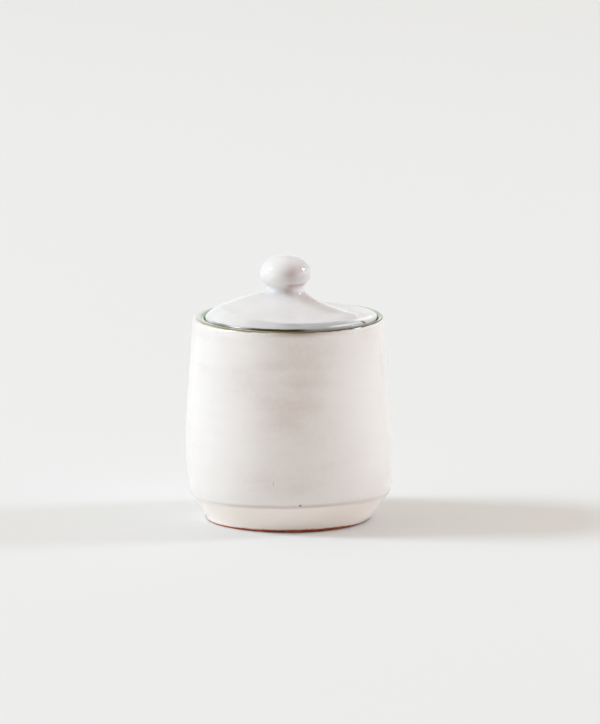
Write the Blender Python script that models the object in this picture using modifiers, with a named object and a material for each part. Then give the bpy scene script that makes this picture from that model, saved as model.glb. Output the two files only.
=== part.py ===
# Sugar canister: a thrown, glazed earthenware jar with a loose lid that drops into its rim.
# Sizes are in millimetres and become metres once, where a profile is turned.
# A station is a (radius, height) pair. The origin is the centre of the base, on the
# surface that the jar stands on, with +Z up.

import math

import bpy

MM = 0.001
OBJECT_NAME = "sugar_canister"
SIDES = 64               # flat faces round each turned piece
CURVE_STEPS = 3          # points from one station of an outer curve to the next
INNER_STEPS = 2          # the same on the inner wall
SMALL_ARC = 2            # points round a small edge
EDGE_ARC = 4
CORNER_ARC = 6
HOLLOW_ARC = 8
KNOB_ARC = 12
MERGE_DISTANCE = 0.00001
SEAT_GAP = 0.3           # clear space between the lid and the ledge it rests on

# Jar, outside
JAR_HEIGHT = 98.4        # up to the crest of the rim
FOOT_RADIUS = 39.4
FOOT_EDGE = 0.7          # rounding of the edge it stands on
TAPER_TOP = (47.2, 12.2)     # where the trimmed foot meets the belly
TAPER_ANGLE = 32.0       # lean of the trimmed foot, in degrees from upright
RIDGE_OVERHANG = 0.9     # how far the belly stands out over the trimmed foot
RIDGE_EDGE = 0.6
LOWER_BELLY = (49.4, 19.0)
WIDEST = (50.0, 30.0)
UPPER_BELLY = (48.9, 52.0)
SHOULDER = (47.2, 76.0)
LIP = (45.7, 94.6)

# Jar, rim
CREST_RADIUS = 43.8
CREST_DROP = 1.8         # height of the rounded crest
LIP_SET_BACK = 0.2       # how far the crest's outer edge stands in from the lip
LEDGE_HEIGHT = 95.5      # the lid rests here
LEDGE_OUTER_RADIUS = 41.9
LEDGE_INNER_RADIUS = 37.9
LEDGE_THICKNESS = 3.0
LEDGE_ROOT = 0.5         # rounding between the ledge and the rim
LEDGE_FLARE = 9.0        # height over which the ledge runs back into the wall

# Jar, inside
WALL = 4.6
FLOOR = 6.0
FLOOR_CORNER = 11.0

# Lid
LID_EDGE = (41.0, 98.5)      # where the edge is widest
LID_SHOULDER = (37.4, 101.1)
SEAT_RADIUS = 39.6
SEAT_ROUNDING = 1.8
RING_OUTER_RADIUS = 37.3
RING_INNER_RADIUS = 33.6
RING_DEPTH = 4.6         # how far the locating ring reaches down past the ledge
RING_ROUNDING = 1.2
HOLLOW_RISE = 6.8        # height of the hollow under the dome
DOME_LOWER = (29.0, 103.3)
DOME_UPPER = (20.0, 106.0)
DOME_CROWN = (13.4, 108.7)

# Knob
KNOB_RADIUS = 12.4
KNOB_HALF_HEIGHT = 8.6
KNOB_CENTRE = 119.5
NECK = (9.0, 111.9)      # where the neck is narrowest

# Surface of the plain solids
GLAZE_COLOUR = (0.80, 0.76, 0.73, 1.0)
GLAZE_ROUGHNESS = 0.18


def clear_scene():
    for item in list(bpy.data.objects):
        bpy.data.objects.remove(item, do_unlink=True)


def arc(centre, radii, start, end, steps):
    """Stations along an elliptical arc, from start to end in degrees."""
    stations = []
    for step in range(steps + 1):
        angle = math.radians(start + (end - start) * step / steps)
        stations.append((centre[0] + radii[0] * math.cos(angle),
                         centre[1] + radii[1] * math.sin(angle)))
    return stations


def blend(a, b, c, d, t):
    """One coordinate of a smooth curve, a fraction t of the way from b to c."""
    return 0.5 * (2 * b + (c - a) * t + (2 * a - 5 * b + 4 * c - d) * t ** 2
                  + (3 * b - a - 3 * c + d) * t ** 3)


def smooth_run(stations, steps):
    """A smooth curve through every station, in that many steps from each to the next."""
    before = tuple(2 * near - far for near, far in zip(stations[0], stations[1]))
    after = tuple(2 * near - far for near, far in zip(stations[-1], stations[-2]))
    held = [before, *stations, after]
    curve = [stations[0]]
    for around in zip(held, held[1:], held[2:], held[3:]):
        for step in range(1, steps + 1):
            curve.append(tuple(blend(*values, step / steps) for values in zip(*around)))
    return curve


def glaze():
    material = bpy.data.materials.new("white_glaze")
    material.use_nodes = True
    shader = material.node_tree.nodes["Principled BSDF"]
    shader.inputs["Base Color"].default_value = GLAZE_COLOUR
    shader.inputs["Roughness"].default_value = GLAZE_ROUGHNESS
    shader.inputs["Metallic"].default_value = 0.0
    return material


def turned(name, profile, collection):
    """A solid turned round the Z axis. Its profile runs down the outer side."""
    mesh = bpy.data.meshes.new(name)
    mesh.from_pydata(
        [(radius * MM, 0.0, height * MM) for radius, height in profile],
        [(index, index + 1) for index in range(len(profile) - 1)],
        [])
    mesh.materials.append(glaze())
    piece = bpy.data.objects.new(name, mesh)
    collection.objects.link(piece)

    turn = piece.modifiers.new("turn", "SCREW")
    turn.axis = "Z"
    turn.angle = 2 * math.pi
    turn.steps = SIDES
    turn.render_steps = SIDES
    turn.use_merge_vertices = True
    turn.merge_threshold = MERGE_DISTANCE
    turn.use_smooth_shade = True
    return piece


def jar_inside():
    """From the middle of the floor up the wall and in under the ledge."""
    inner_radius = WIDEST[0] - WALL
    ledge_bottom = LEDGE_HEIGHT - LEDGE_THICKNESS
    corner = arc((inner_radius - FLOOR_CORNER, FLOOR + FLOOR_CORNER),
                 (FLOOR_CORNER, FLOOR_CORNER), -90, 0, CORNER_ARC)
    wall = smooth_run([
        corner[-1],
        (inner_radius, WIDEST[1]),
        (UPPER_BELLY[0] - WALL, UPPER_BELLY[1]),
        (SHOULDER[0] - WALL, SHOULDER[1]),
        (LIP[0] - WALL, ledge_bottom - LEDGE_FLARE),
        (LEDGE_INNER_RADIUS, ledge_bottom)], INNER_STEPS)
    return [(0.0, FLOOR), *corner, *wall[1:]]


def jar_rim():
    """Out along the ledge, up the rim and over its crest."""
    root = arc((LEDGE_OUTER_RADIUS - LEDGE_ROOT, LEDGE_HEIGHT + LEDGE_ROOT),
               (LEDGE_ROOT, LEDGE_ROOT), -90, 0, SMALL_ARC)
    crest_centre = (CREST_RADIUS, JAR_HEIGHT - CREST_DROP)
    inner_half = arc(crest_centre, (CREST_RADIUS - LEDGE_OUTER_RADIUS, CREST_DROP),
                     180, 90, EDGE_ARC)
    outer_half = arc(crest_centre, (LIP[0] - LIP_SET_BACK - CREST_RADIUS, CREST_DROP),
                     90, 0, EDGE_ARC)
    return [(LEDGE_INNER_RADIUS, LEDGE_HEIGHT), *root, *inner_half, *outer_half[1:]]


def jar_outside():
    """Down the belly, in under its ridge and down the trimmed foot to the middle of the base."""
    ridge_centre = (TAPER_TOP[0] + RIDGE_OVERHANG - RIDGE_EDGE, TAPER_TOP[1] + RIDGE_EDGE)
    ridge = arc(ridge_centre, (RIDGE_EDGE, RIDGE_EDGE), 0, -90, SMALL_ARC)
    belly = smooth_run([LIP, SHOULDER, UPPER_BELLY, WIDEST, LOWER_BELLY, ridge[0]],
                       CURVE_STEPS)
    foot_edge = arc((FOOT_RADIUS - FOOT_EDGE, FOOT_EDGE), (FOOT_EDGE, FOOT_EDGE),
                    -TAPER_ANGLE, -90, SMALL_ARC)
    return [*belly, *ridge[1:], TAPER_TOP, *foot_edge, (0.0, 0.0)]


def build_jar(collection):
    return turned("jar", jar_inside() + jar_rim() + jar_outside(), collection)


def knob():
    """Down from the top of the knob to its neck."""
    neck_angle = math.degrees(math.acos(NECK[0] / KNOB_RADIUS))
    return arc((0.0, KNOB_CENTRE), (KNOB_RADIUS, KNOB_HALF_HEIGHT), 90, -neck_angle,
               KNOB_ARC)


def lid_edge():
    """Over the rounded edge of the lid and down to the face that it rests on."""
    seat_height = LEDGE_HEIGHT + SEAT_GAP
    over = arc((LID_SHOULDER[0], LID_EDGE[1]),
               (LID_EDGE[0] - LID_SHOULDER[0], LID_SHOULDER[1] - LID_EDGE[1]),
               90, 0, CORNER_ARC)
    under = arc((SEAT_RADIUS, seat_height + SEAT_ROUNDING),
                (LID_EDGE[0] - SEAT_RADIUS, SEAT_ROUNDING), 0, -90, EDGE_ARC)
    return over + under


def lid_underside():
    """In along the seat, round the locating ring and up into the hollow of the dome."""
    seat_height = LEDGE_HEIGHT + SEAT_GAP
    ring_bottom = LEDGE_HEIGHT - RING_DEPTH + RING_ROUNDING
    outer_rounding = arc((RING_OUTER_RADIUS - RING_ROUNDING, ring_bottom),
                         (RING_ROUNDING, RING_ROUNDING), 0, -90, SMALL_ARC)
    inner_rounding = arc((RING_INNER_RADIUS + RING_ROUNDING, ring_bottom),
                         (RING_ROUNDING, RING_ROUNDING), -90, -180, SMALL_ARC)
    hollow = arc((0.0, seat_height), (RING_INNER_RADIUS, HOLLOW_RISE), 0, 90, HOLLOW_ARC)
    return [(RING_OUTER_RADIUS, seat_height), *outer_rounding, *inner_rounding, *hollow]


def build_lid(collection):
    """The lid and its knob are one piece of clay, so they are one turned solid."""
    knob_curve = knob()
    dome = smooth_run([knob_curve[-1], NECK, DOME_CROWN, DOME_UPPER, DOME_LOWER, LID_SHOULDER],
                      CURVE_STEPS)
    profile = knob_curve + dome[1:-1] + lid_edge() + lid_underside()
    return turned("lid", profile, collection)


def main():
    clear_scene()
    collection = bpy.data.collections.new(OBJECT_NAME)
    bpy.context.scene.collection.children.link(collection)
    build_jar(collection)
    build_lid(collection)


main()
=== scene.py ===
import math
import bmesh
import bpy
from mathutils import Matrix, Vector, noise


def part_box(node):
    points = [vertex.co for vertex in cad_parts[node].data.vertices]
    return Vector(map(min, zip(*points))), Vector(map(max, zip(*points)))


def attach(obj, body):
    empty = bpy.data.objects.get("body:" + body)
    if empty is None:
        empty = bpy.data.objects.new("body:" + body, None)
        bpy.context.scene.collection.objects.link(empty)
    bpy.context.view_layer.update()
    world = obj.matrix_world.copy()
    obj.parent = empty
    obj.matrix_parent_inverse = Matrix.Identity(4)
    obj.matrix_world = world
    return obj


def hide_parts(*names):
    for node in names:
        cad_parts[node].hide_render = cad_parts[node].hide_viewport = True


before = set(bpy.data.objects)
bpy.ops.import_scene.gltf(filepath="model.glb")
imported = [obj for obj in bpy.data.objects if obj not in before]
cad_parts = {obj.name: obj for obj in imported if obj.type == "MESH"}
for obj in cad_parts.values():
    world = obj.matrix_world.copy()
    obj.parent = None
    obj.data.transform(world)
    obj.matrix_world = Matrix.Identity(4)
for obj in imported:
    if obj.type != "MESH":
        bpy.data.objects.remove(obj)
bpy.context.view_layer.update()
mm = 0.001
print("frame loaded")

# An outline is a list of (radius, height) stations in mm, turned round the jar's axis.
# A turn is an angle round that axis in degrees: 0 faces the camera, 90 is its right.


def arcPoints(centre, radii, start, end, steps):
    points = []
    for step in range(steps + 1):
        angle = math.radians(start + (end - start) * step / steps)
        points.append((centre[0] + radii[0] * math.cos(angle),
                       centre[1] + radii[1] * math.sin(angle)))
    return points


def easedBetween(stations, at):  # value at one place of a smooth run of (place, value) stations
    if at <= stations[0][0]:
        return stations[0][1]
    for (placeA, valueA), (placeB, valueB) in zip(stations, stations[1:]):
        if at <= placeB:
            t = (at - placeA) / (placeB - placeA)
            return valueA + (valueB - valueA) * t * t * (3 - 2 * t)
    return stations[-1][1]


def curveThrough(stations, spacing):  # a smooth curve through the stations, evenly filled
    first = [2 * a - b for a, b in zip(stations[0], stations[1])]
    last = [2 * a - b for a, b in zip(stations[-1], stations[-2])]
    held = [Vector(s) for s in [first, *stations, last]]
    points = [tuple(held[1])]
    for a, b, c, d in zip(held, held[1:], held[2:], held[3:]):
        steps = max(1, round((c - b).length / spacing))
        for step in range(1, steps + 1):
            t = step / steps
            point = 0.5 * (2 * b + (c - a) * t + (2 * a - 5 * b + 4 * c - d) * t * t
                           + (3 * b - a - 3 * c + d) * t ** 3)
            points.append(tuple(point))
    return points


def straightTo(start, end, spacing):
    steps = max(1, round((Vector(end) - Vector(start)).length / spacing))
    return [tuple(Vector(start).lerp(Vector(end), step / steps)) for step in range(1, steps + 1)]


def smoothBetween(stations, at):  # the same as easedBetween, on one flowing curve
    if at <= stations[0][0]:
        return stations[0][1]
    if at >= stations[-1][0]:
        return stations[-1][1]
    index = next(i for i in range(1, len(stations)) if at <= stations[i][0])
    (placeA, valueA), (placeB, valueB) = stations[index - 1], stations[index]
    before, after = stations[max(index - 2, 0)], stations[min(index + 1, len(stations) - 1)]
    width = placeB - placeA
    slopeA = (valueB - before[1]) / (placeB - before[0]) * width
    slopeB = (after[1] - valueA) / (after[0] - placeA) * width
    t = (at - placeA) / width
    return (valueA * (1 + 2 * t) * (1 - t) ** 2 + slopeA * t * (1 - t) ** 2
            + valueB * t * t * (3 - 2 * t) + slopeB * t * t * (t - 1))


def softPatch(turn, height, patch):  # 1 in the middle of a patch, fading to 0 round it
    middleTurn, middleHeight, wide, high = patch
    aside = (turn - middleTurn + 180) % 360 - 180
    return math.exp(-((aside / wide) ** 2 + ((height - middleHeight) / high) ** 2))


def distances(outline):  # how far each point of an outline is along it, in mm
    along = [0.0]
    for a, b in zip(outline, outline[1:]):
        along.append(along[-1] + (Vector(b) - Vector(a)).length)
    return along


def turnedPiece(name, outline, segments, reshape, marks):
    # marks: {attribute: function of (radius, height, turn, distance along the outline)}
    bm = bmesh.new()
    alongLayer = bm.verts.layers.float.new("along")
    layers = {mark: bm.verts.layers.float.new(mark) for mark in marks}
    points = [bm.verts.new((0, -radius * mm, height * mm)) for radius, height in outline]
    for point, along in zip(points, distances(outline)):
        point[alongLayer] = along
    sides = [bm.edges.new(pair) for pair in zip(points, points[1:])]
    bmesh.ops.spin(bm, geom=points + sides, cent=(0, 0, 0), axis=(0, 0, 1),
                   angle=2 * math.pi, steps=segments, use_merge=True)
    bmesh.ops.remove_doubles(bm, verts=bm.verts, dist=0.001 * mm)
    for point in bm.verts:
        radius = math.hypot(point.co.x, point.co.y) / mm
        height = point.co.z / mm
        turn = math.degrees(math.atan2(point.co.x, -point.co.y))
        for mark, layer in layers.items():
            point[layer] = marks[mark](radius, height, turn, point[alongLayer])
        point.co = Vector(reshape(radius, height, turn)) * mm
    bmesh.ops.recalc_face_normals(bm, faces=bm.faces)
    mesh = bpy.data.meshes.new(name)
    bm.to_mesh(mesh)
    bm.free()
    mesh.shade_smooth()
    piece = bpy.data.objects.new(name, mesh)
    bpy.context.scene.collection.objects.link(piece)
    finer = piece.modifiers.new("finer", "SUBSURF")
    finer.levels = 1
    finer.render_levels = 1
    print(name, "has", len(mesh.polygons), "faces before its last smoothing")
    return piece


def placed(radius, height, turn, shift=0.0):
    angle = math.radians(turn)
    return (radius * math.sin(angle) + shift, -radius * math.cos(angle), height)


def ripple(radius, height, turn, scale, seed):  # a soft uneven value from -1 to 1 on the surface
    angle = math.radians(turn)
    spot = Vector((radius * math.sin(angle), -radius * math.cos(angle), height)) / scale
    return noise.noise(spot + Vector((seed, seed * 0.7, seed * 0.3)))


# Camera, where the photograph was taken from
photo = {
    "width": 600,
    "height": 724,
    "axisColumn": 288.7,      # pixel column of the jar's axis
    "baseRow": 517.0,         # pixel row of the middle of its base
    "pixelsPerMm": 2.075,     # at the jar's axis
    "distance": 3500.0,       # mm
    "pitch": 10.45,           # degrees down, at the middle of the jar
    "middle": 52.0,           # mm above the base
    "sensor": 36.0,
}


def addCamera():
    pitch = math.radians(photo["pitch"])
    ahead = Vector((0, math.cos(pitch), -math.sin(pitch)))
    upward = Vector((0, math.sin(pitch), math.cos(pitch)))
    pixels = photo["pixelsPerMm"] * photo["distance"]      # focal length in pixels
    middleRow = photo["baseRow"] - photo["middle"] * photo["pixelsPerMm"] * math.cos(pitch)
    right = photo["width"] / 2 - photo["axisColumn"]
    up = middleRow - photo["height"] / 2
    data = bpy.data.cameras.new("camera")
    data.sensor_width = photo["sensor"]
    data.lens = pixels * photo["sensor"] / photo["height"]
    data.clip_end = 100
    camera = bpy.data.objects.new("camera", data)
    bpy.context.scene.collection.objects.link(camera)
    camera.location = (Vector((0, 0, photo["middle"])) - ahead * photo["distance"]) * mm
    aim = ahead * pixels + Vector((1, 0, 0)) * right + upward * up
    camera.rotation_euler = aim.to_track_quat("-Z", "Y").to_euler()
    bpy.context.scene.camera = camera


addCamera()
print("camera placed")


# Materials
def newMaterial(name):
    material = bpy.data.materials.new(name)
    material.use_nodes = True
    tree = material.node_tree
    return material, tree, tree.nodes["Principled BSDF"]


def addNode(tree, kind, **values):
    node = tree.nodes.new(kind)
    for key, value in values.items():
        if key.startswith("in_"):
            node.inputs[key[3:].replace("_", " ")].default_value = value
        else:
            setattr(node, key, value)
    return node


def setRamp(node, stops):
    ramp = node.color_ramp
    while len(ramp.elements) > 1:
        ramp.elements.remove(ramp.elements[-1])
    ramp.elements[0].position = stops[0][0]
    ramp.elements[0].color = stops[0][1]
    for place, colour in stops[1:]:
        ramp.elements.new(place).color = colour


def rampOf(tree, source, stops):
    node = addNode(tree, "ShaderNodeValToRGB")
    setRamp(node, stops)
    tree.links.new(source, node.inputs["Fac"])
    return node


def mathOf(tree, operation, a, b):
    node = addNode(tree, "ShaderNodeMath", operation=operation)
    for socket, value in zip(node.inputs, (a, b)):
        if isinstance(value, (int, float)):
            socket.default_value = value
        else:
            tree.links.new(value, socket)
    return node.outputs["Value"]


def mixColour(tree, factor, a, b):
    node = addNode(tree, "ShaderNodeMix", data_type="RGBA")
    for socket, value in ((node.inputs["Factor"], factor), (node.inputs[6], a), (node.inputs[7], b)):
        if isinstance(value, (int, float, tuple)):
            socket.default_value = value
        else:
            tree.links.new(value, socket)
    return node.outputs[2]


def fromBytes(red, green, blue):  # a colour as read off a screen, made linear
    def straight(part):
        part = part / 255
        return part / 12.92 if part <= 0.04045 else ((part + 0.055) / 1.055) ** 2.4
    return (straight(red), straight(green), straight(blue), 1.0)


def noiseOn(tree, coordinates, size, detail, stretch=(1, 1, 1), offset=(0, 0, 0)):
    # size is the width of the noise's patches in mm
    place = addNode(tree, "ShaderNodeMapping")
    place.inputs["Scale"].default_value = stretch
    place.inputs["Location"].default_value = offset
    tree.links.new(coordinates, place.inputs["Vector"])
    node = addNode(tree, "ShaderNodeTexNoise", in_Scale=1 / (size * mm), in_Detail=detail)
    tree.links.new(place.outputs["Vector"], node.inputs["Vector"])
    return node.outputs["Fac"]


def markOf(tree, name):
    return addNode(tree, "ShaderNodeAttribute", attribute_name=name).outputs["Fac"]


glaze = {
    # where it lies thin over the red clay, as usual, and where it lies thick
    "jar": (fromBytes(212, 189, 181), fromBytes(240, 235, 231), fromBytes(250, 247, 245)),
    "lid": (fromBytes(206, 182, 175), fromBytes(226, 223, 224), fromBytes(250, 248, 246)),
    # olive glaze under the lid's edge, darkened further as painted shade in the gap
    "oliveAndGapShade": fromBytes(58, 58, 28),
    "rimLine": fromBytes(132, 122, 58),
    "rimLineDark": fromBytes(62, 52, 20),
    "paintedBrimShade": fromBytes(166, 168, 171),     # painted shade and dark reflection on the front of the lid's brim
    "stain": fromBytes(112, 84, 62),
    # on the foot's taper: warm from its thin glaze, pale as painted light from the floor
    "trimmed": fromBytes(255, 246, 237),
    "bareEdge": fromBytes(172, 112, 86),    # where it has run off an edge
    "roughness": 0.07,
    "patch": 24.0,                          # mm, size of the mottling
    "ringHeight": 5.5,                      # mm, throwing rings in its colour
    "mottling": 0.7,
    "clay": (fromBytes(146, 66, 36), fromBytes(192, 98, 58)),
    "clayRoughness": 0.85,
    "bumpDepth": 0.10,                      # mm
}


def glazeColour(tree, place, shades):
    # mottling: warm where it is thin, pale where it is thick, drawn out along the throwing rings
    patches = noiseOn(tree, place, glaze["patch"], 3.0)
    rings = noiseOn(tree, place, glaze["ringHeight"], 2.0, stretch=(0.12, 0.12, 1))
    specks = noiseOn(tree, place, 2.2, 3.0)
    even = mathOf(tree, "ADD", mathOf(tree, "MULTIPLY", patches, 0.5), mathOf(tree, "MULTIPLY", rings, 0.3))
    even = mathOf(tree, "ADD", even, mathOf(tree, "MULTIPLY", specks, 0.2))
    even = mathOf(tree, "MULTIPLY", mathOf(tree, "SUBTRACT", even, 0.5), glaze["mottling"])
    # the patches' mark shifts it: thin and thick glaze, and in places painted light and shade
    thickness = mathOf(tree, "SUBTRACT", mathOf(tree, "ADD", even, 0.5), markOf(tree, "thinningAndPaintedLight"))
    thinningAndPaintedLight, usual, thick = shades
    return rampOf(tree, thickness, [(0.0, thinningAndPaintedLight), (0.5, usual), (1.0, thick)]).outputs["Color"]


def glazeBump(tree, place, shader):
    fine = noiseOn(tree, place, 1.4, 2.0)
    broad = noiseOn(tree, place, 7.0, 1.0, stretch=(0.4, 0.4, 1))
    height = mathOf(tree, "ADD", mathOf(tree, "MULTIPLY", fine, 0.12), broad)
    bump = addNode(tree, "ShaderNodeBump", in_Strength=0.5, in_Distance=glaze["bumpDepth"] * mm)
    tree.links.new(height, bump.inputs["Height"])
    tree.links.new(bump.outputs["Normal"], shader.inputs["Normal"])


def addFleck(tree, place, colour, fleck):  # a small spot in the glaze, longer upwards where high > 1
    (x, y, z), size, high, tone = fleck
    near = addNode(tree, "ShaderNodeVectorMath", operation="SUBTRACT")
    near.inputs[1].default_value = (x * mm, y * mm, z * mm)
    tree.links.new(place, near.inputs[0])
    squeezed = addNode(tree, "ShaderNodeVectorMath", operation="MULTIPLY")
    squeezed.inputs[1].default_value = (1, 1, 1 / high)
    tree.links.new(near.outputs["Vector"], squeezed.inputs[0])
    reach = addNode(tree, "ShaderNodeVectorMath", operation="LENGTH")
    tree.links.new(squeezed.outputs["Vector"], reach.inputs[0])
    amount = rampOf(tree, mathOf(tree, "DIVIDE", reach.outputs["Value"], size * mm), [
        (0.0, (1, 1, 1, 1)), (0.5, (0.8, 0.8, 0.8, 1)), (1.0, (0, 0, 0, 1))])
    return mixColour(tree, amount.outputs["Color"], colour, tone)


def spread(tree, value, low, high):  # 0 at low, 1 at high
    node = addNode(tree, "ShaderNodeMapRange", interpolation_type="SMOOTHSTEP")
    node.inputs["From Min"].default_value = low
    node.inputs["From Max"].default_value = high
    tree.links.new(value, node.inputs["Value"])
    return node.outputs["Result"]


def wander(tree, place, size, reach):  # an even wobble of up to reach mm each way
    return mathOf(tree, "MULTIPLY", mathOf(tree, "SUBTRACT", noiseOn(tree, place, size, 2.0), 0.5), 4 * reach)


def jarGlaze():
    material, tree, shader = newMaterial("jarGlaze")
    place = addNode(tree, "ShaderNodeTexCoord").outputs["Object"]
    colour = glazeColour(tree, place, glaze["jar"])

    # the rim, by the distance from its crest: below 0 is outside
    rim = mathOf(tree, "ADD", markOf(tree, "rimRun"), wander(tree, place, 6.0, 0.25))
    stained = mathOf(tree, "MULTIPLY", spread(tree, rim, -3.6, -1.2), markOf(tree, "stain"))
    green = rampOf(tree, mathOf(tree, "DIVIDE", rim, 4.0), [
        (0.0, fromBytes(204, 210, 194)), (0.3, fromBytes(182, 202, 174)),
        (0.6, fromBytes(162, 190, 158)), (1.0, fromBytes(128, 152, 118))])
    colour = mixColour(tree, spread(tree, rim, 0.1, 1.0), colour, green.outputs["Color"])
    line = mathOf(tree, "ABSOLUTE", mathOf(tree, "SUBTRACT", rim, markOf(tree, "lineRun")), 0.0)
    painted = mathOf(tree, "MULTIPLY", spread(tree, line, 1.05, 0.25), markOf(tree, "rimPaint"))
    tone = mixColour(tree, markOf(tree, "lineDark"), glaze["rimLine"], glaze["rimLineDark"])
    colour = mixColour(tree, painted, colour, tone)
    colour = mixColour(tree, stained, colour, glaze["stain"])

    # thin glaze on the edge of the ridge
    ridge = mathOf(tree, "ABSOLUTE", mathOf(tree, "ADD", markOf(tree, "ridgeRun"),
                                            wander(tree, place, 9.0, 0.12)), 0.0)
    worn = mathOf(tree, "MULTIPLY", spread(tree, ridge, 1.5, 0.1), markOf(tree, "ridgeWorn"))
    colour = mixColour(tree, worn, colour, glaze["bareEdge"])
    for fleck in jar["flecks"]:
        colour = addFleck(tree, place, colour, fleck)

    # a pale warm colour over the taper, its warmth the thin glaze and its paleness painted light from the floor
    # below; bare clay under its wavy lower edge
    foot = mathOf(tree, "ADD", markOf(tree, "footRun"), wander(tree, place, 7.0, 0.22))
    trimmed = mathOf(tree, "MULTIPLY", spread(tree, foot, 13.0, 11.5), 0.75)
    colour = mixColour(tree, trimmed, colour, glaze["trimmed"])
    bare = spread(tree, foot, 0.12, -0.12)
    clay = rampOf(tree, noiseOn(tree, place, 2.5, 4.0), [(0.35, glaze["clay"][0]), (0.65, glaze["clay"][1])])
    colour = mixColour(tree, mathOf(tree, "MULTIPLY", spread(tree, foot, 0.8, 0.1), 0.3), colour,
                       glaze["bareEdge"])
    colour = mixColour(tree, bare, colour, clay.outputs["Color"])
    tree.links.new(colour, shader.inputs["Base Color"])
    rough = mathOf(tree, "MULTIPLY", bare, glaze["clayRoughness"] - glaze["roughness"])
    tree.links.new(mathOf(tree, "ADD", rough, glaze["roughness"]), shader.inputs["Roughness"])
    glazeBump(tree, place, shader)
    return material


def lidGlaze():
    material, tree, shader = newMaterial("lidGlaze")
    place = addNode(tree, "ShaderNodeTexCoord").outputs["Object"]
    colour = glazeColour(tree, place, glaze["lid"])

    # painted shade and dark reflection on the brim; olive under its edge, partly its glaze and partly painted shade
    # in the gap
    edge = mathOf(tree, "ADD", markOf(tree, "edgeRun"), wander(tree, place, 6.0, 0.2))
    onBrim = mathOf(tree, "MULTIPLY", spread(tree, edge, 11.6, 10.6), spread(tree, edge, 3.9, 4.6))
    paintedBrimShade = mathOf(tree, "MULTIPLY", onBrim, markOf(tree, "brimShade"))
    colour = mixColour(tree, paintedBrimShade, colour, glaze["paintedBrimShade"])
    # under the edge: olive glaze, and painted shade in the gap against the rim
    under = mathOf(tree, "MULTIPLY", spread(tree, edge, 4.6, 4.0), markOf(tree, "edgeDark"))
    colour = mixColour(tree, under, colour, glaze["oliveAndGapShade"])
    worn = mathOf(tree, "ADD", markOf(tree, "worn"), wander(tree, place, 5.0, 0.1))
    colour = mixColour(tree, spread(tree, worn, 0.0, 1.2), colour, glaze["bareEdge"])
    for fleck in lid["flecks"]:
        colour = addFleck(tree, place, colour, fleck)
    tree.links.new(colour, shader.inputs["Base Color"])
    shader.inputs["Roughness"].default_value = glaze["roughness"]
    glazeBump(tree, place, shader)
    return material


print("materials ready")

# Jar
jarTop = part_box("jar")[1]
jar = {
    "height": jarTop.z / mm,
    "belly": [(46.15, 94.2), (46.2, 92.6), (46.35, 90.5), (46.7, 86.0), (47.3, 77.0), (47.95, 66.0),
              (48.7, 56.0), (49.3, 47.5), (49.73, 38.0), (49.88, 31.0), (49.6, 25.0), (49.25, 19.0),
              (48.75, 15.5), (48.15, 13.2)],
    "ridgeStep": 0.5,
    "taperTop": 12.0,
    "foot": (39.4, 0.7),
    "crest": 44.4,
    "crestDrop": 1.0,         # height of its inner side
    "rimCorner": (1.5, 1.9),  # rounding of its outer side
    "ledge": 95.5,
    "ledgeOuter": 41.9,
    "ledgeInner": 37.9,
    "ledgeThickness": 3.0,
    "wall": 4.6,
    "floor": 6.0,
    "floorCorner": 11.0,
    # how far the thrown wall stands to the right of the axis, by height
    "lean": [(0, -0.7), (1.2, 0.0), (3, 0.6), (8, 1.15), (13, 1.3), (18, 0.8), (25, 0.4), (34, -0.1),
             (52, -0.5), (72, -0.5), (92, -0.3)],
    "mouthShift": 1.15,       # the mouth is cut a little to the right
    "ridgeLift": 1.9,         # the ridge runs uphill towards this turn
    "ridgeTurn": 30.0,
    "rimDip": 0.1,           # the rim is lower on its left
    "ringDepth": 0.07,
    "ringSpacing": 11.0,
    # patches, thin glaze warm (above 0) and thick glaze pale (below 0), the pale one low on the taper being painted
    # light from the floor: turn, height, width, height of patch
    "glazeAndLightPatches": [((8, 78, 17, 17), 0.07), ((2, 58, 13, 9), 0.07), ((5, 23, 20, 6), 0.06),
                    ((-25, 91, 14, 7), -0.2), ((48, 60, 20, 24), -0.2), ((-32, 47, 20, 11), -0.1),
                    # the pale patch low on the taper is painted light from the floor
                    ((-20, 6, 60, 7), -0.6), ((44, 8, 20, 6), 0.3),
                    ((-62, 95, 26, 6), 0.1), ((45, 96, 22, 4), 0.1)],
    # height of the bare clay by the turn, in mm
    "bareClay": [(-180, 1.2), (-90, 0.4), (-60, 0.35), (-43, 0.75), (-30, 1.05), (0, 1.45), (30, 1.6),
                 (45, 1.1), (60, 0.55), (90, 0.5), (180, 1.2)],
    # how strongly the clay shows on the ridge, and stains the glaze below the rim, by the turn
    "ridgeWorn": [(-180, 0.2), (-75, 0.05), (-50, 0.1), (-30, 0.3), (15, 0.36), (30, 0.22), (50, 0.05),
                  (90, 0.05), (180, 0.2)],
    "stain": [(-180, 0.2), (-60, 0.0), (-18, 0.05), (-4, 0.5), (10, 0.55), (22, 0.3), (40, 0.1),
              (70, 0.0), (180, 0.2)],
    # how strong the rim's paint is, and how far inside the crest its line runs, in mm
    "rimPaint": [(-180, 0.8), (-110, 0.3), (-85, 0.2), (-68, 0.6), (-55, 0.9), (-25, 1.0), (-8, 1.0),
                 (15, 1.8), (80, 1.8), (100, 0.9), (180, 0.8)],
    "lineRun": [(-180, 0.0), (-60, -0.35), (-42, -0.4), (-26, -0.8), (-10, -0.45), (8, -0.5), (20, -0.55),
                (38, -0.45), (60, -0.35), (80, -0.3), (120, 0.0), (180, 0.0)],
    "lineDark": [(-180, 0.2), (-30, 0.0), (-12, 0.3), (5, 0.8), (20, 1.0), (45, 0.85), (62, 0.5),
                 (75, 0.3), (180, 0.2)],
    "flecks": [((5.5, -48.0, 14.8), 0.8, 1.0, fromBytes(140, 100, 84)),
               ((-7.3, -48.7, 26.0), 0.45, 3.5, fromBytes(150, 154, 142))],
    "segments": 96,
}


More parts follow.
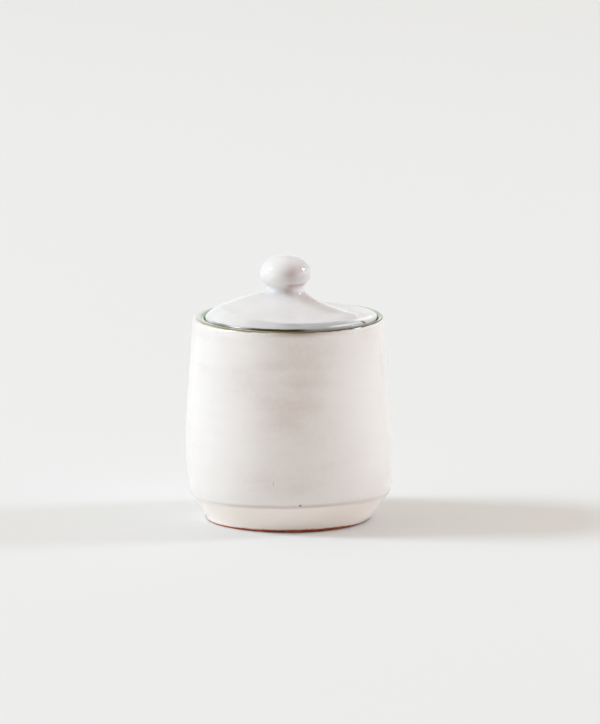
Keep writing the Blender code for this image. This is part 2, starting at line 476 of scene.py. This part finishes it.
def jarOutline():
    inner = jar["belly"][9][0] - jar["wall"]
    ledgeBottom = jar["ledge"] - jar["ledgeThickness"]
    bend = arcPoints((inner - jar["floorCorner"], jar["floor"] + jar["floorCorner"]),
                     (jar["floorCorner"],) * 2, -90, 0, 6)
    floor = straightTo((0, jar["floor"]), bend[0], 12.0)
    wall = curveThrough([bend[-1], (inner, 31.0), (inner - 1.1, 52.0), (inner - 2.8, 76.0),
                         (inner - 4.4, ledgeBottom - 9.0), (jar["ledgeInner"], ledgeBottom)], 9.0)
    ledge = [(jar["ledgeInner"], ledgeBottom + 0.4), (jar["ledgeInner"], jar["ledge"] - 0.4),
             (jar["ledgeInner"] + 0.4, jar["ledge"]), (jar["ledgeOuter"] - 2.2, jar["ledge"]),
             (jar["ledgeOuter"] - 1.1, jar["ledge"] + 0.35), (jar["ledgeOuter"] - 0.35, jar["ledge"] + 1.1)]
    crestCentre = (jar["crest"], jar["height"] - jar["crestDrop"])
    inside = arcPoints(crestCentre, (jar["crest"] - jar["ledgeOuter"], jar["crestDrop"]), 180, 90, 6)
    corner = jar["rimCorner"]
    turnedOut = arcPoints((jar["crest"], jar["height"] - corner[1]), corner, 90, 0, 8)
    outside = turnedOut + straightTo(turnedOut[-1], jar["belly"][0], 0.9)
    belly = curveThrough(jar["belly"], 1.8)
    ridgeRadius, ridgeHeight = jar["belly"][-1]
    taperRadius = ridgeRadius - jar["ridgeStep"]
    step = [(ridgeRadius - 0.10, ridgeHeight - 0.35), (ridgeRadius - 0.35, ridgeHeight - 0.6),
            (taperRadius, ridgeHeight - 0.75), (taperRadius - 0.2, jar["taperTop"])]
    taper = straightTo(step[-1], (jar["foot"][0] + 0.1, jar["foot"][1]), 0.7)
    foot = [(jar["foot"][0] - 0.15, 0.2), (jar["foot"][0] - 0.6, 0.0), (jar["foot"][0] - 1.4, 0.0)]
    base = straightTo(foot[-1], (0, 0), 12.0)
    parts = {"inside": [(0, jar["floor"])] + floor + bend[1:] + wall[1:] + ledge + inside[:-1],
             "rim": outside, "belly": belly[1:-1], "ridge": belly[-1:] + step[:3],
             "taper": step[3:] + taper, "foot": foot, "base": base}
    return parts


def jarReshape(radius, height, turn):
    shift = smoothBetween(jar["lean"], height)
    # the mouth and the ledge inside it stand further right than the lip outside
    inMouth = easedBetween([(70, 0), (92, 1)], height) \
        * easedBetween([(jar["crest"] - 1.2, 1), (jar["belly"][0][0], 0)], radius)
    shift += (jar["mouthShift"] - shift) * inMouth
    # the ridge is higher on one side
    atRidge = easedBetween([(0.5, 0), (jar["belly"][-1][1], 1), (40, 0)], height)
    lift = jar["ridgeLift"] * math.cos(math.radians(turn - jar["ridgeTurn"])) * atRidge
    # throwing rings on the outer wall, and a slightly uneven wall
    outer = easedBetween([(jar["crest"] - 1, 0), (jar["belly"][0][0], 1)], radius) \
        * easedBetween([(14, 0), (22, 1), (88, 1), (94, 0)], height)
    ring = math.sin(math.tau * height / jar["ringSpacing"] + 1.5 * ripple(radius, height, turn, 60, 3))
    radius += outer * jar["ringDepth"] * (ring - 1) * (0.6 + ripple(radius, height, turn, 40, 7))
    radius += outer * 0.2 * (ripple(radius, height, turn, 34, 11) - 0.3)
    if height > 90:
        lift += 0.16 * ripple(radius, height, turn, 22, 5) - 0.05
        lift -= jar["rimDip"] * (1 + math.cos(math.radians(turn + 50))) / 2
    if height + lift > jar["height"]:
        lift = jar["height"] - height
    return placed(radius, height + lift, turn, shift)


def makeJar():
    parts = jarOutline()
    outline = [point for part in parts.values() for point in part]
    along = distances(outline)
    starts, count = {}, 0
    for part, points in parts.items():
        starts[part] = along[count]
        count += len(points)
    crest, ridge, foot = starts["rim"], starts["ridge"] + 0.9, starts["foot"]

    def footRun(radius, height, turn, place):
        return foot - place - smoothBetween(jar["bareClay"], turn)

    def thinningAndPaintedLightAt(radius, height, turn, place):
        if place < crest:
            return 0.0
        return sum(amount * softPatch(turn, height, patch) for patch, amount in jar["glazeAndLightPatches"])

    marks = {"rimRun": lambda radius, height, turn, place: crest - place,
             "ridgeRun": lambda radius, height, turn, place: place - ridge,
             "footRun": footRun, "thinningAndPaintedLight": thinningAndPaintedLightAt,
             "ridgeWorn": lambda radius, height, turn, place: smoothBetween(jar["ridgeWorn"], turn),
             "stain": lambda radius, height, turn, place: smoothBetween(jar["stain"], turn),
             "rimPaint": lambda radius, height, turn, place: smoothBetween(jar["rimPaint"], turn),
             "lineRun": lambda radius, height, turn, place: smoothBetween(jar["lineRun"], turn),
             "lineDark": lambda radius, height, turn, place: smoothBetween(jar["lineDark"], turn)}
    piece = turnedPiece("glazedJar", outline, jar["segments"], jarReshape, marks)
    piece.data.materials.append(jarGlaze())
    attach(piece, "root")
    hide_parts("jar")


makeJar()
print("jar made")

# Lid
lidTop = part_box("lid")[1]
lid = {
    "top": lidTop.z / mm,
    "edge": (lidTop.x / mm + 0.4, 98.2),
    # the dome from its neck to its brim, at the front
    "dome": [(9.0, 111.9), (9.35, 110.8), (11.0, 109.4), (13.4, 108.3), (16.5, 106.9), (20.0, 105.4),
             (25.0, 103.5), (30.0, 101.75), (33.2, 100.95), (34.3, 100.45), (35.4, 100.25),
             (38.2, 99.8), (40.0, 99.35)],
    "edgeStart": 60.0,        # slope at which its rounded edge begins, in degrees from upright
    # how much higher its left side is, and how much lower its right side, by radius
    "tilt": [(9.0, 0.0), (9.35, 0.5), (11.0, 1.0), (13.4, 1.7), (16.5, 2.2), (20.0, 2.6), (25.0, 2.85),
             (30.0, 2.8), (34.3, 2.45), (36.5, 1.7), (38.4, 0.95), (40.0, 0.2), (41.4, -0.3)],
    # the dome is fuller on its right, just inside the crease: by radius, and how much of it by the turn
    "bulge": [(13.0, 0.0), (16.5, 0.2), (20.0, 0.6), (24.7, 1.25), (28.5, 1.85), (30.5, 2.0), (32.5, 1.45),
              (34.2, 0.0), (35.0, 0.0)],
    "bulgeTurn": [(-180, 0.0), (10, 0.0), (50, 0.45), (75, 1.0), (90, 0.9), (110, 0.4), (132, 0.0),
                  (180, 0.0)],
    # how much higher its brim and the crease inside it are, by the turn
    "brimRise": [(-180, -0.1), (-90, 0.0), (-10, 0.0), (5, 0.25), (20, 0.7), (40, 1.2), (56, 1.25),
                 (69, 0.8), (88, -0.2), (115, -0.1), (180, -0.1)],
    "seatRadius": 39.6,
    "seat": 95.8,
    "seatRounding": 1.8,
    "ringOuter": 37.3,
    "ringInner": 33.6,
    "ringBottom": 90.9,
    "hollow": 6.4,
    "knobRadius": 12.4,
    "knobHalf": 8.6,
    "knobHeight": 119.5,
    # how far each turned ring stands to the right of the axis, by its radius
    "drift": [(9.0, -1.5), (13.0, -0.8), (20.0, -0.3), (33.0, 0.3), (41.4, 1.15)],
    # lines where the glaze is thin: height, half width, strength, first and last turn
    "worn": [(114.7, 1.0, 0.6, 8, 56), (112.3, 1.6, 0.42, -2, 20)],
    # the same patches as on the jar, for the knob, and for the dome with the radius in place of height; on the dome
    # the darker one right of the neck is the knob's painted shadow and the pale one on the right brim a painted
    # reflection
    "glazeAndLightPatches": [((0, 119.5, 200, 20), -0.2), ((36, 122, 34, 6), 0.3), ((13, 120.5, 15, 4.5), 0.35),
                    ((-28, 118, 22, 7), -0.25), ((0, 115, 45, 4), 0.06)],
    # the knob's painted shadow right of the neck, a painted reflection on the right brim, then paler at the front
    # and left
    "domePatches": [((60, 12, 35, 4), 0.25), ((90, 38, 45, 3), -0.5), ((0, 17, 70, 6), -0.12),
                    ((-75, 33, 40, 12), -0.12)],
    # how strong the painted shade and dark reflection on the brim are, where that painted shade stops short of the
    # edge to leave its highlight, and how dark under the edge, olive glaze and painted shade in the gap, by the turn
    "brimShade": [(-180, 0.5), (-90, 0.0), (-40, 0.0), (-24, 0.3), (-12, 0.45), (0, 0.85), (36, 1.0),
             (46, 0.85), (53, 0.55), (60, 0.25), (68, 0.0), (120, 0.0), (180, 0.5)],
    "brimShadeStop": [(-180, 0.0), (24, 0.0), (32, 0.9), (50, 0.9), (60, 0.3), (180, 0.0)],
    "edgeDark": [(-180, 0.5), (-110, 0.0), (-72, 0.0), (-62, 0.5), (-52, 0.7), (-45, 0.5), (-38, 0.2),
                 (-30, 0.7), (-24, 1.0), (5, 1.0), (12, 0.6), (18, 0.5), (32, 0.45), (52, 0.3), (62, 0.2), (72, 0.1),
                 (110, 0.0), (180, 0.5)],
    "flecks": [((35.6, -21.3, 99.1), 1.7, 1.0, fromBytes(84, 66, 48))],
    "segments": 96,
}


def lidOutline():
    neckRadius = lid["dome"][0][0]
    angle = math.degrees(math.acos(neckRadius / lid["knobRadius"]))
    knob = arcPoints((0, lid["knobHeight"]), (lid["knobRadius"], lid["knobHalf"]), 90, -angle, 22)
    dome = curveThrough([knob[-1], *lid["dome"]], 1.2)[1:]
    brimEnd = lid["dome"][-1]
    start = math.radians(lid["edgeStart"])
    radii = ((lid["edge"][0] - brimEnd[0]) / (1 - math.cos(start)),
             (brimEnd[1] - lid["edge"][1]) / math.sin(start))
    over = arcPoints((lid["edge"][0] - radii[0], lid["edge"][1]), radii, lid["edgeStart"], 0, 5)
    under = arcPoints((lid["seatRadius"], lid["seat"] + lid["seatRounding"]),
                      (lid["edge"][0] - lid["seatRadius"], lid["seatRounding"]), 0, -90, 5)
    ringMiddle = (lid["ringOuter"] + lid["ringInner"]) / 2
    ringHalf = (lid["ringOuter"] - lid["ringInner"]) / 2
    ring = arcPoints((ringMiddle, lid["ringBottom"] + 1.4), (ringHalf, 1.4), 0, -180, 8)
    hollow = arcPoints((0, lid["seat"]), (lid["ringInner"], lid["hollow"]), 0, 90, 12)
    return {"top": knob + dome + over[1:], "under": under[1:],
            "ring": [(lid["ringOuter"], lid["seat"])] + ring + hollow}


def lidReshape(radius, height, turn):
    if height < lid["edge"][1] - 0.01:
        return placed(radius, height, turn, lid["drift"][-1][1])
    if height >= lid["dome"][0][1]:
        return placed(radius, height, turn, lid["drift"][0][1])
    side = math.sin(math.radians(turn))
    lift = -smoothBetween(lid["tilt"], radius) * side
    onDome = easedBetween([(11, 0), (16, 1), (39, 1), (41.4, 0)], radius)
    lift += 0.15 * onDome * ripple(radius, 100, turn, 14, 21)
    onBrim = easedBetween([(22, 0), (33, 1), (37, 0.9), (41.2, 0)], radius)
    lift += smoothBetween(lid["brimRise"], turn) * onBrim
    lift += smoothBetween(lid["bulgeTurn"], turn) * smoothBetween(lid["bulge"], radius)
    return placed(radius, height + lift, turn, smoothBetween(lid["drift"], radius))


def makeLid():
    parts = lidOutline()
    outline = [point for part in parts.values() for point in part]
    seat = distances(outline)[len(parts["top"]) + len(parts["under"]) - 1]

    def wornness(radius, height, turn, place):
        total = 0.0
        for middle, half, strength, first, last in lid["worn"]:
            across = math.exp(-((height - middle) / half) ** 2)
            along = easedBetween([(first - 15, 0), (first + 5, 1), (last - 5, 1), (last + 15, 0)], turn)
            total += strength * across * along if height > 105 else 0.0
        return total

    def thinningAndPaintedLightAt(radius, height, turn, place):
        if height > 111:
            return sum(amount * softPatch(turn, height, patch) for patch, amount in lid["glazeAndLightPatches"])
        if height < lid["edge"][1]:
            return 0.0
        return sum(amount * softPatch(turn, radius, patch) for patch, amount in lid["domePatches"])

    # painted shade on the brim, held back from the edge where a highlight falls
    def brimShading(radius, height, turn, place):
        shadeStopped = smoothBetween(lid["brimShadeStop"], turn) * easedBetween([(39.2, 0), (40.2, 1)], radius)
        return smoothBetween(lid["brimShade"], turn) * (1 - shadeStopped)

    marks = {"edgeRun": lambda radius, height, turn, place: max(seat - place, 0.0),
             "worn": wornness, "thinningAndPaintedLight": thinningAndPaintedLightAt,
             "brimShade": brimShading,
             "edgeDark": lambda radius, height, turn, place: smoothBetween(lid["edgeDark"], turn)}
    piece = turnedPiece("glazedLid", outline, lid["segments"], lidReshape, marks)
    piece.data.materials.append(lidGlaze())
    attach(piece, "root")
    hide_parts("lid")


makeLid()
print("lid made")

# Floor and light
studio = {
    "floorSize": 30.0,        # metres
    "floor": fromBytes(229, 228, 227),
    "keyFrom": (-0.78, 0.05, 0.61),
    "keyDistance": 6.0,
    "keySize": 1.5,
    "keyPower": 190.0,
    "keyColour": (0.67, 0.84, 1.0),
    "rightFrom": (0.86, 0.17, 0.48),
    "rightDistance": 6.0,
    "rightSize": 1.2,
    "rightPower": 94.0,
    "rightColour": (0.76, 0.89, 1.0),
    "roomStrength": 8.0,
    # the room's colour at each turn round the jar: low down, and halfway up its walls
    "horizon": [(-180, (0.17, 0.17, 0.18)), (-150, (0.06, 0.06, 0.06)), (-120, (0.08, 0.09, 0.08)),
                (-90, (0.32, 0.32, 0.32)), (-60, (0.22, 0.22, 0.22)), (-30, (0.01, 0.0, 0.0)),
                (0, (0.0, 0.0, 0.0)), (30, (0.02, 0.0, 0.0)), (60, (0.24, 0.22, 0.22)),
                (90, (0.60, 0.60, 0.61)), (120, (0.32, 0.32, 0.32)), (150, (0.08, 0.08, 0.08)),
                (180, (0.17, 0.17, 0.18))],
    "walls": [(-180, (0.03, 0.04, 0.03)), (-90, (0.15, 0.15, 0.14)), (0, (0.0, 0.0, 0.0)),
              (90, (0.0, 0.0, 0.0)), (180, (0.03, 0.04, 0.03))],
    "overhead": (0.126, 0.110, 0.097),
}


def addFloor():
    bm = bmesh.new()
    bmesh.ops.create_grid(bm, x_segments=1, y_segments=1, size=studio["floorSize"] / 2)
    mesh = bpy.data.meshes.new("floor")
    bm.to_mesh(mesh)
    bm.free()
    floor = bpy.data.objects.new("floor", mesh)
    bpy.context.scene.collection.objects.link(floor)
    material, tree, shader = newMaterial("paleFloor")
    shader.inputs["Base Color"].default_value = studio["floor"]
    shader.inputs["Roughness"].default_value = 0.9
    shader.inputs["Specular IOR Level"].default_value = 0.1
    mesh.materials.append(material)


def addSoftbox(name, direction, distance, size, power, colour):
    data = bpy.data.lights.new(name, "AREA")
    data.shape = "SQUARE"
    data.size = size
    data.energy = power
    data.color = colour
    light = bpy.data.objects.new(name, data)
    bpy.context.scene.collection.objects.link(light)
    middle = Vector((0, 0, photo["middle"] * mm))
    away = Vector(direction).normalized()
    light.location = middle + away * distance
    light.rotation_euler = away.to_track_quat("Z", "Y").to_euler()


def addRoom():
    world = bpy.data.worlds.new("room")
    world.use_nodes = True
    tree = world.node_tree
    direction = addNode(tree, "ShaderNodeTexCoord").outputs["Generated"]
    parts = addNode(tree, "ShaderNodeSeparateXYZ")
    tree.links.new(direction, parts.inputs["Vector"])
    turn = mathOf(tree, "ARCTAN2", parts.outputs["X"], mathOf(tree, "MULTIPLY", parts.outputs["Y"], -1))
    along = mathOf(tree, "ADD", mathOf(tree, "DIVIDE", turn, math.tau), 0.5)
    horizon, walls = [rampOf(tree, along, [((at + 180) / 360, (*colour, 1)) for at, colour in studio[part]])
                      for part in ("horizon", "walls")]
    low = mathOf(tree, "POWER", mathOf(tree, "SUBTRACT", 1.0, parts.outputs["Z"]), 3.0)
    colour = mixColour(tree, low, walls.outputs["Color"], horizon.outputs["Color"])
    overhead = mathOf(tree, "MULTIPLY", parts.outputs["Z"], parts.outputs["Z"])
    colour = mixColour(tree, overhead, colour, (*studio["overhead"], 1))
    background = tree.nodes["Background"]
    background.inputs["Strength"].default_value = studio["roomStrength"]
    tree.links.new(colour, background.inputs["Color"])
    bpy.context.scene.world = world


addFloor()
addSoftbox("keyLight", studio["keyFrom"], studio["keyDistance"], studio["keySize"],
           studio["keyPower"], studio["keyColour"])
addSoftbox("rightLight", studio["rightFrom"], studio["rightDistance"], studio["rightSize"],
           studio["rightPower"], studio["rightColour"])
addRoom()
bpy.context.scene.view_settings.view_transform = "Standard"
print("studio made")
